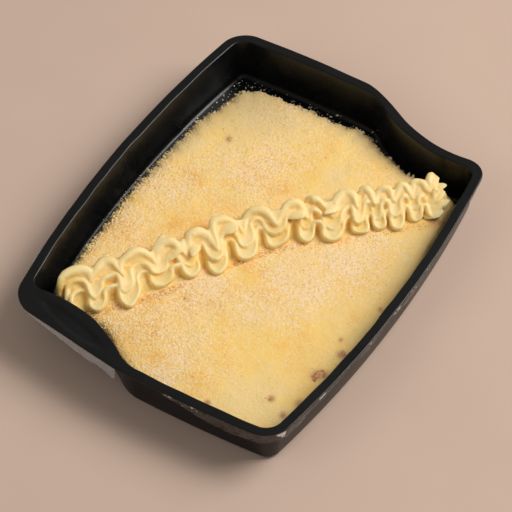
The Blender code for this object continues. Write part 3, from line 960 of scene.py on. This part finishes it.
# Each fold: where the front row turns in and where the lobe after it turns out, as a run along
# the axis and a step sideways in mm, how pointed that lobe is, and how far, in mm, the back row
# flops over there
FOLDS = (
    ((6.0, 0.5), (13.0, -11.0), 0.7, 0.0),
    ((22.5, -2.5), (29.5, -13.5), 0.3, 0.5),
    ((39.5, 1.5), (48.5, -8.5), 0.8, 0.0),
    ((58.0, -2.5), (64.5, -10.5), 0.5, 4.0),
    ((72.0, 2.0), (78.5, -13.5), 0.2, 6.0),
    ((87.5, 1.0), (97.0, -12.5), 0.2, 3.0),
    ((105.5, 0.5), (114.5, -10.5), 0.0, 4.5),
    ((124.5, 1.5), (130.0, -10.0), 0.6, 1.5),
    ((135.0, -1.5), (143.5, -12.5), 0.3, 2.5),
    ((153.5, -0.5), (158.5, -10.5), 0.1, 0.0),
    ((164.0, 0.0), (168.5, -9.0), 0.2, 0.0),
    ((173.0, -1.0), (178.0, -11.0), 0.0, 0.0),
    ((183.0, -1.0), (188.0, -9.5), 0.4, 0.0),
    ((192.5, -2.0), (197.0, -8.5), 0.6, 0.0),
    ((200.5, -2.0), (205.0, -7.0), 0.9, 0.0),
)
ROWS = (                       # front, middle and back row; pairs are for inward, outward turn
    dict(step=(0.0, 0.0), crest=(7.1, 3.7), half=(1.35, 0.9), skew=0.0, fan=-0.07,
         meander=0.075, slack=0.0, flop=0.0, ripple=0.55, hollow=2.0, reach=0.42),
    dict(step=(4.8, 6.6), crest=(9.8, 6.1), half=(1.6, 0.95), skew=0.6, fan=-0.02, meander=0.06,
         slack=0.8, flop=0.3, ripple=0.45, hollow=1.2, reach=0.42),
    dict(step=(10.8, 13.6), crest=(12.6, 9.2), half=(3.1, 1.2), skew=1.2, fan=0.09, meander=0.01,
         slack=1.0, flop=1.0, ripple=0.3, hollow=0.7, reach=0.30),
)
LEAVES = (                     # loose folds, mm: run and side of root and of tip, crest, half width
    ((13.0, 8.0), (23.5, 14.0), 12.2, 3.0),
    ((46.5, 7.0), (57.0, 15.5), 12.0, 2.8),
    ((54.0, 2.0), (65.5, 8.5), 11.0, 2.6),
    ((70.0, 6.0), (66.0, -3.5), 10.4, 3.0),
    ((84.0, 7.0), (93.5, 1.0), 11.6, 3.4),
    ((119.0, 5.0), (129.0, -0.5), 11.2, 3.2),
    ((147.0, 7.0), (139.0, 0.5), 11.2, 3.2),
    ((193.0, 9.0), (203.0, 10.5), 10.6, 3.4),
    ((195.0, 5.5), (206.5, 5.5), 9.4, 2.4),
    ((194.0, 0.5), (204.5, 1.5), 8.4, 3.4),
    ((195.0, -4.0), (206.5, -3.0), 6.8, 2.2),
    ((192.0, -6.5), (202.5, -7.5), 5.2, 2.6),
)
MEAN_OUTWARD = -10.5           # mm sideways, of the front row's lobes


def stay_inside(plan, margin):
    """Plan points moved in from the wall where they are nearer to it than the margin."""
    step = 0.05 * MM
    for _ in range(3):
        x, y = plan.T
        depth = cavity_depth(x, y, PIPING_CORNER)
        slope = np.column_stack([cavity_depth(x + step, y, PIPING_CORNER) - depth,
                                 cavity_depth(x, y + step, PIPING_CORNER) - depth]) / step
        plan = plan + slope * np.clip(margin - depth, 0, None)[:, None]
    return plan


def fold_row(row, rng, count=3000):
    """Wave count, plan, top height, half width and foot along one wavy row of the ruffle."""
    inward, outward, pointed, flops = (np.array(values) for values in zip(*FOLDS))
    whole = np.arange(len(FOLDS))
    lobes = whole + 0.5
    wave = np.linspace(-0.55, len(FOLDS) - 0.75, count)
    knots = np.concatenate([[-0.5], np.column_stack([whole, lobes]).ravel()])
    runs = np.concatenate([[-3.5], np.column_stack([inward[:, 0], outward[:, 0]]).ravel()])
    run = np.interp(wave, knots, runs)
    ease = np.hanning(int(count * 0.03))
    padded = np.pad(run, len(ease) // 2, mode="reflect", reflect_type="odd")
    run = np.convolve(padded, ease / ease.sum(), "same")[len(ease) // 2:][:count]
    pitch = np.interp(wave, whole, np.gradient(inward[:, 0]))
    broad = smooth_step(pitch, 9.5, 15.0)
    quarter = np.arange(-4, 4 * len(FOLDS) + 4) / 4

    def at_lobes(values):
        return np.interp(wave, lobes, values)

    def vary(size):
        return np.interp(wave, quarter, rng.normal(0.0, size, len(quarter)))

    def between(pair):
        return pair[1] + (pair[0] - pair[1]) * rise

    rise = (0.5 + 0.5 * np.cos(2 * math.pi * wave)) ** (1.0 - 0.42 * at_lobes(pointed))
    step_in, step_out = row["step"]
    slack = row["slack"]
    turn_in = np.interp(wave, whole, inward[:, 1]) + step_in * (0.86 + 0.14 * broad)
    turn_out = at_lobes(outward[:, 1]) + step_out
    flop = row["flop"] * at_lobes(flops)
    evened = 0.4 * step_in / 4.4               # the rows behind follow the lobes less
    turn_in = turn_in - evened * (turn_in - step_in)
    turn_out = turn_out - evened * (turn_out - step_out - MEAN_OUTWARD) - flop
    side = turn_out + (turn_in - turn_out) * rise + vary(0.35 + slack * 0.6)
    ripple = noise2(run * MM, run * 0, 3.4 * MM, seed=60 + int(10 * step_in))
    side = side + row["ripple"] * (1.3 - rise) * ripple
    open_end = 0.07 * smooth_step(2.0 - wave, 0.0, 1.0)
    run = run + (row["fan"] + open_end) * pitch * np.sin(2 * math.pi * wave)
    run = run + row["meander"] * pitch * np.sin(4 * math.pi * wave) * (1 + vary(0.25))
    run = run - row["skew"] + vary(0.3 + 0.4 * slack) * broad + 0.5 * flop * (1 - rise)
    half = between(row["half"]) * (1 + vary(0.08)) * (0.86 + 0.14 * broad)
    half = half * (0.4 + 0.6 * smooth_step(wave[-1] - wave, 0.0, 0.5))
    top = between(row["crest"]) * (0.95 + 0.05 * broad) + vary(0.3 + 0.3 * slack)
    top = top - 0.25 * flop * (1 - rise)
    ends = smooth_step(np.minimum(wave - wave[0], wave[-1] - wave), 0.0, 0.3)
    top = top * (0.5 + 0.5 * ends)
    plan = stay_inside(on_axis(run * MM, side * MM), (half + 1.2) * MM)
    return wave, plan, top * MM, half * MM, 0.75 + 0.6 * rise


def petals(wave, plan, top, half, hollow, reach, turn=0.5):
    """Grids of the mash inside each lobe of a row: outward ones, or inward at turn 0."""
    made = []
    share = np.linspace(0, 1, 15)
    bow = (4 * share * (1 - share)) ** 0.8
    offset = np.linspace(0.015, reach, 26)
    sag = hollow * (0.25 * smooth_step(offset, 0.02, 0.1)
                    + 0.75 * smooth_step(offset, 0.10, 0.34))
    for index in range(len(FOLDS)):
        lines = []
        for points in (*plan.T, top - 0.04 * half):
            a = np.interp(index + turn - offset, wave, points)
            b = np.interp(index + turn + offset, wave, points)
            lines.append(a[:, None] + (b - a)[:, None] * share)
        lines[2] = lines[2] - sag[:, None] * bow
        made.append(lines)
    return made


def sheet_over(x, y, crest):
    """A solid from a grid of heights over the piping's foot, straight down to it."""
    low = np.stack([x, y, np.full_like(x, PIPING_FOOT)], axis=2)
    high = np.stack([x, y, np.maximum(PIPING_FOOT + crest, PIPING_FOOT + 0.3 * MM)], axis=2)
    return loft(np.concatenate([high, low[:, ::-1]], axis=1))


def leaf(root, tip, crest, half, count=40):
    """A loose fold of mash that lies over the rows and narrows to a thin tip."""
    root, tip = np.array(root), np.array(tip)
    lean = (tip - root) / math.dist(tip, root)
    share = np.linspace(0, 1, count)[:, None]
    across = np.linspace(-1, 1, 13)
    width = half * np.sin(math.pi * (0.22 + 0.78 * share) ** 1.2) ** 0.75 + 0.15
    curl = 1.2 * np.sin(math.pi * share)
    run = root[0] + (tip[0] - root[0]) * share + curl + lean[1] * across * width
    side = root[1] + (tip[1] - root[1]) * share - lean[0] * across * width
    plan = stay_inside(on_axis(run.ravel() * MM, side.ravel() * MM), 1.4 * MM)
    high = crest - 3.0 * (1 - share) ** 3 - 0.6 * share - 0.22 * width * across ** 2
    thick = (2.6 - 1.6 * share) * (0.3 + 0.7 * (1 - across ** 2))
    upper, lower = (at_height(plan, PIPING_FOOT + z.ravel() * MM).reshape(count, -1, 3)
                    for z in (high, high - thick))
    return loft(np.concatenate([upper, lower[:, ::-1]], axis=1))


def curtain(plan, top, radius, foot):
    """A wall along a plan line with a rounded crest and its foot drawn in or spread out."""
    along = unit(np.gradient(plan, axis=0))
    across = np.column_stack([-along[:, 1], along[:, 0]])
    flank = [(-foot - 0.2, 0.0), (-foot, 0.4), (-0.5 - 0.5 * foot, 0.75), (-1.0, 0.96)]
    height = np.maximum(top - radius, 1.0 * MM)
    rings = [(out, PIPING_FOOT + share * height) for out, share in flank]
    for turn in np.radians(np.linspace(180, 0, 9)):
        rings.append((math.cos(turn), PIPING_FOOT + height + math.sin(turn) * radius))
    rings += [(-out, PIPING_FOOT + share * height) for out, share in reversed(flank)]
    lines = [at_height(plan + across * (out * radius)[:, None], z) for out, z in rings]
    return loft(np.stack(lines, axis=1))


def core_loaf():
    """The body of mash under the folds."""
    first, last = FOLDS[0][0][0], FOLDS[-1][0][0]
    run = np.linspace((first - 9.0) * MM, (last + 5.0) * MM, 260)
    section = ((-8.0, 0.0), (-8.5, 0.3), (-6.0, 1.2), (-3.0, 2.8), (-0.5, 4.6), (1.5, 6.0),
               (4.0, 7.6), (7.0, 9.4), (10.0, 10.0), (12.6, 6.5), (13.8, 0.4), (13.2, 0.0))
    wave = np.interp(run / MM + 1.2, [fold[0][0] for fold in FOLDS], np.arange(len(FOLDS)))
    caps = 0.5 + 0.5 * np.cos(2 * math.pi * wave)
    share = np.linspace(0, 1, len(run))
    ends = smooth_step(np.minimum(share, 1 - share), 0.0, 0.03)
    width = np.interp(run / MM, (0, 60, 130, 205), (1.0, 1.0, 0.94, 0.82)) * (0.5 + 0.5 * ends)
    lines = []
    for side, height in section:
        behind = smooth_step(side, 2.0, 12.0) * (1 - caps)
        plan = stay_inside(on_axis(run, side * MM * width * (1 - 0.32 * behind)), 1.6 * MM)
        up = height * MM * (0.3 + 0.7 * ends) * (1 - 0.2 * behind)
        lines.append(at_height(plan, PIPING_FOOT + up))
    return loft(np.stack(lines, axis=1))


def merged(shells):
    """Verts and faces of many shells as one."""
    verts = []
    faces = []
    total = 0
    for shell_verts, shell_faces in shells:
        verts.append(shell_verts)
        faces += [group + total for group in shell_faces]
        total += len(shell_verts)
    return np.vstack(verts), faces


def remesh(thing, voxel):
    """Swap the object's mesh for its outer skin, in even small faces."""
    step = thing.modifiers.new("skin", "REMESH")
    step.mode = "VOXEL"
    step.voxel_size = voxel
    step.use_smooth_shade = True
    soften = thing.modifiers.new("soften", "SMOOTH")
    soften.factor = 0.5
    soften.iterations = 2
    graph = bpy.context.evaluated_depsgraph_get()
    mesh = bpy.data.meshes.new_from_object(thing.evaluated_get(graph))
    thing.modifiers.clear()
    old = thing.data
    thing.data = mesh
    bpy.data.meshes.remove(old)


def fold_depth(verts, cell=0.6 * MM, reach=5):
    """How far each point lies below the crests near it, 0 to 1."""
    low = verts.min(axis=0)
    index = ((verts[:, :2] - low[:2]) / cell).astype(int) + reach + 1
    shape = index.max(axis=0) + reach + 2
    crest = np.full(shape, low[2])
    np.maximum.at(crest, (index[:, 0], index[:, 1]), verts[:, 2])
    peak = crest.copy()
    for dx in range(-reach, reach + 1):
        for dy in range(-reach, reach + 1):
            if dx * dx + dy * dy <= reach * reach:
                peak = np.maximum(peak, np.roll(crest, (dx, dy), (0, 1)))
    for _ in range(3):
        peak = (peak + np.roll(peak, 1, 0) + np.roll(peak, -1, 0)
                + np.roll(peak, 1, 1) + np.roll(peak, -1, 1)) / 5
    drop = peak[index[:, 0], index[:, 1]] - verts[:, 2]
    return np.clip(drop / (5.5 * MM), 0, 1)


def off_axis(x, y, count=110):
    """How far plan points lie from the piping's axis, counted towards its far side."""
    line = on_axis(np.linspace(-6, 210, count) * MM, np.zeros(count))
    nearest = np.full(len(x), np.inf)
    side = np.zeros(len(x))
    for (px, py), (tx, ty) in zip(line, unit(np.gradient(line, axis=0))):
        away = (x - px) ** 2 + (y - py) ** 2
        closer = away < nearest
        nearest = np.where(closer, away, nearest)
        side = np.where(closer, tx * (y - py) - ty * (x - px), side)
    return side


def back_pleats(co, normal):
    """Depth of the slanting pleats in the outer wall on the ruffle's far side."""
    back = on_axis(np.zeros(1), np.ones(1))[0] - on_axis(np.zeros(1), np.zeros(1))[0]
    x, y, z = co.T
    run = x * back[1] - y * back[0]
    height = z - PIPING_FOOT
    outer = smooth_step(off_axis(x, y) / MM, 9.0, 11.0)
    facing = smooth_step(normal[:, :2] @ back, 0.1, 0.5)
    lower = fade(height / MM, 8.0, 11.5)
    stray = 2.0 * MM * noise2(run, 0.6 * height, 6.0 * MM, seed=58)
    turn = (run + 0.45 * height + stray) / (3.1 * MM)
    cut = 1.7 * (1 - np.abs(np.sin(math.pi * turn))) ** 1.3
    uneven = 0.75 + 0.5 * noise2(run, height, 7.0 * MM, seed=59)
    return outer * facing * lower * (cut * uneven - 0.35) * MM


def build_ruffle(material):
    """Rows, petals, leaves and core under one skin, then bent, roughened and pleated."""
    rng = np.random.default_rng(12)
    rows = [fold_row(row, rng) for row in ROWS]
    shells = [curtain(*line[1:]) for line in rows]
    grids = []
    for row, line in zip(ROWS, rows):
        grids += petals(*line[:4], row["hollow"] * MM, row["reach"])
    grids += petals(*rows[-1][:4], 2.0 * MM, reach=0.36, turn=0.0)
    shells += [sheet_over(*grid) for grid in grids]
    shells += [leaf(*fold) for fold in LEAVES]
    shells.append(core_loaf())
    made = new_mesh("piped_ruffle", *merged(shells))
    remesh(made, PIPING_GRID)
    co = read_vectors(made.data, "co")
    normal = read_vectors(made.data, "normal")
    x, y, z = co.T
    room = cavity_depth(x, y, PIPING_CORNER)
    sway = SWAY * smooth_step(room / MM, 2.0, 6.0)
    for axis in range(2):
        co[:, axis] += sway * noise2(x + z, y - z, 8.5 * MM, seed=57 + axis)
    soft = layered_noise(x + 0.7 * z, y - 0.6 * z, 5.0 * MM, seed=55, octaves=2)
    fine = noise2(x + z, y + 0.5 * z, 0.9 * MM, seed=56)
    raised = SOFT_RELIEF * soft + FINE_RELIEF * fine - back_pleats(co, normal)
    co = co + normal * raised[:, None]
    made.data.vertices.foreach_set("co", co.ravel())
    made.data.shade_smooth()
    made.data.update()
    made.data.materials.append(material)
    # fold depth, which the material turns into amber painted shade and glow in the folds
    add_attributes(made, fold=fold_depth(co))
    return made


# ---- lidding film ----

FILM_THICK = 0.08 * MM
FILM_ROWS = 15
GLINT_STRENGTH = 2.1
# painted white highlights on the skirt: angle and reach in degrees, depth in mm
FILM_GLINTS = ((189.5, 2.0, 1.0), (196.5, 2.2, 3.5), (217.7, 1.7, 4.5), (229.0, 3.0, 1.5),
               (240.6, 2.6, 1.5), (251.0, 2.8, 1.5), (265.5, 3.2, 1.7), (276.0, 3.5, 1.0),
               (287.0, 3.5, 1.3))


def film_sheet(name, start, end, depth, drop, material, splay, steps, seed, glints=()):
    """A creased torn strip hanging from the flange between two spoke angles in degrees.

    It hangs as deep as drop says for a share of the way along it, and splay is how far its
    foot stands out. A glint is a crinkled painted white highlight: its angle and reach in
    degrees and its depth in mm. Ridges of the folds and the torn hem get the same painted
    highlight.
    """
    angles = np.radians(np.linspace(start, end, steps))
    top = outline(angles, -FLANGE + 0.35 * MM, CORNER, depth)
    out = unit(top)
    run = run_length(top)
    fall = drop(np.linspace(0, 1, steps))
    ceiling = RIM - FLANGE_THICK - 0.1 * MM
    torn = np.clip(1.6 * layered_noise(run, run * 0, 6.0 * MM, seed + 1), 0, 1)
    front = []
    creases = []
    for down in np.arange(FILM_ROWS) / (FILM_ROWS - 1):
        fold = layered_noise(run + 1.2 * fall * down, 1.4 * fall * down, 11.0 * MM, seed, 2)
        broken = layered_noise(run, fall * down, 5.0 * MM, seed + 2, 2)
        # ridges of the folds, and the torn hem below, get a painted white highlight
        ridge = np.clip(1 - 14 * np.abs(fold), 0, 1) * np.clip(0.3 + 1.6 * broken, 0, 1)
        hem = torn * max(0.0, 1 - 7 * (1 - down))
        for turn, reach, deep in glints:
            spread = ((np.degrees(angles) - turn) / reach) ** 2 + (fall * down / MM / deep) ** 2
            crinkle = 0.5 + 0.8 * layered_noise(run, fall * down, 1.3 * MM, seed + 3, 2)
            hem = np.maximum(hem, GLINT_STRENGTH * crinkle * np.exp(-spread))
        shift = splay * down * np.minimum(1.0, fall / (2.0 * MM)) + 0.8 * MM * fold * down
        front.append(at_height(top + out * shift[:, None], ceiling - fall * down))
        creases.append(np.maximum(ridge, hem))
    thick = at_height(out * FILM_THICK, 0.0)
    back = [line - thick for line in reversed(front)]
    made = new_mesh(name, *loft(np.stack(front + back, axis=1)), material)
    crease = np.stack(creases + creases[::-1], axis=1).ravel()
    add_attributes(made, crease=np.concatenate([crease, [0.0, 0.0]]))
    return made


def tab_drop(t):
    return (1.2 + 8.0 * t * (1 - 0.1 * np.sin(9 * t))) * MM


def skirt_drop(t):
    hanging = 5.5 * np.exp(-((t - 0.16) / 0.09) ** 2)
    return (1.8 + hanging + 1.6 * np.sin(17 * t) ** 2) * MM


def sliver_drop(t):
    return (0.8 + 1.2 * t) * MM


def build_films():
    """What is left of the lidding film: under the tab, round the near corner, far side."""
    milky = film_material("milky_film", (0.50, 0.49, 0.49), 0.45, 0.7)
    clear = film_material("clear_film", (0.16, 0.135, 0.12), 0.12, 0.4)
    tab = film_sheet("film_tab_scrap", 146.0, 174.0, flange_depth, tab_drop, milky,
                     splay=0.3 * MM, steps=160, seed=81)
    skirt = film_sheet("film_skirt_scrap", 188.0, 321.0, cavity_depth, skirt_drop, clear,
                       splay=0.1 * MM, steps=900, seed=83, glints=FILM_GLINTS)
    sliver = film_sheet("film_sliver_scrap", 120.0, 133.0, cavity_depth, sliver_drop, milky,
                        splay=2.4 * MM, steps=60, seed=85)
    return tab, skirt, sliver


# ---- camera, light, floor ----

VIEW_AZIMUTH = math.radians(-57.954)
VIEW_ELEVATION = math.radians(52.0)
VIEW_DISTANCE = 1.8985
VIEW_LENS = 260.7                # millimetres, as is the sensor
SENSOR_WIDTH = 36.0
AIM_RIGHT = 0.0002               # the aim point, off the middle of the rim, in the view
AIM_UP = -0.01514
SKY_COLOUR = (1.0, 0.94, 0.86)
SKY_STRENGTH = 0.255
LIGHTS = (            # name, metres to the camera's right, off from it and up, size, watts, colour
    ("key", (1.35, 0.34, 1.48), 1.2, 41.8, (1.0, 0.97, 0.93)),
    ("fill", (-0.9, -0.5, 0.9), 1.0, 2.8, (0.95, 0.97, 1.0)),
)
FLOOR_REACH = 1.6


def build_camera():
    """The camera at the photograph's angle, and the ways to its right and towards it."""
    a, e = VIEW_AZIMUTH, VIEW_ELEVATION
    back = Vector((math.sin(a) * math.cos(e), -math.cos(a) * math.cos(e), math.sin(e)))
    right = Vector((math.cos(a), math.sin(a), 0.0))
    up = back.cross(right)
    place = Vector((0, 0, RIM)) + back * VIEW_DISTANCE + right * AIM_RIGHT + up * AIM_UP
    data = bpy.data.cameras.new("photo_view")
    data.lens = VIEW_LENS
    data.sensor_width = SENSOR_WIDTH
    camera = linked("photo_view", data)
    camera.matrix_world = Matrix((*zip(right, up, back, place), (0, 0, 0, 1)))
    bpy.context.scene.camera = camera
    return right, back


def build_light(right, back):
    """A warm sky, and the lights of the LIGHTS table, facing the middle of the tray."""
    world = bpy.data.worlds.new("studio")
    world.use_nodes = True
    sky = world.node_tree.nodes["Background"].inputs
    sky["Color"].default_value = (*SKY_COLOUR, 1.0)
    sky["Strength"].default_value = SKY_STRENGTH
    bpy.context.scene.world = world
    level = Vector((-back.x, -back.y, 0)).normalized()
    for name, (to_right, away, above), size, power, colour in LIGHTS:
        place = right * to_right + level * away + Vector((0, 0, above))
        data = bpy.data.lights.new(name, "AREA")
        data.size = size
        data.energy = power
        data.color = colour
        lamp = linked(name, data)
        lamp.location = place
        lamp.rotation_euler = (-place).to_track_quat("-Z", "Y").to_euler()
        lamp.visible_glossy = name == "key"


def build_floor():
    step = np.linspace(-FLOOR_REACH, FLOOR_REACH, 9)
    gx, gy = np.meshgrid(step, step, indexing="ij")
    verts = np.column_stack([gx.ravel(), gy.ravel(), np.zeros(gx.size)])
    ids = np.arange(gx.size).reshape(gx.shape)
    quads = np.column_stack([ids[:-1, :-1].ravel(), ids[1:, :-1].ravel(), ids[1:, 1:].ravel(),
                             ids[:-1, 1:].ravel()])
    floor = new_mesh("floor", verts, [quads], floor_material())


# ---- put together ----

bpy.context.scene.view_settings.view_transform = "Standard"
right, back = build_camera()
build_light(right, back)
build_floor()

tray = build_tray(plastic_material())
slab = build_slab(mash_material())
ruffle = build_ruffle(piped_material())
film_tab, film_skirt, film_sliver = build_films()
scattered = (*build_crumbs(), build_edge_lumps(), build_flecks(), build_tray_crumbs())

dressed = (
    (tray, "tray", "tray_plastic"),
    (slab, "pie", "crumbed_mash"),
    (ruffle, "piped_mash", "piped_mash"),
    (film_tab, "film_tab", "lidding_film"),
    (film_skirt, "film_skirt", "lidding_film"),
    (film_sliver, "film_sliver", "lidding_film"),
)
for piece, node, slot_name in dressed:
    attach(piece, "root")
    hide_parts(node)
for piece in scattered:
    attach(piece, "root")
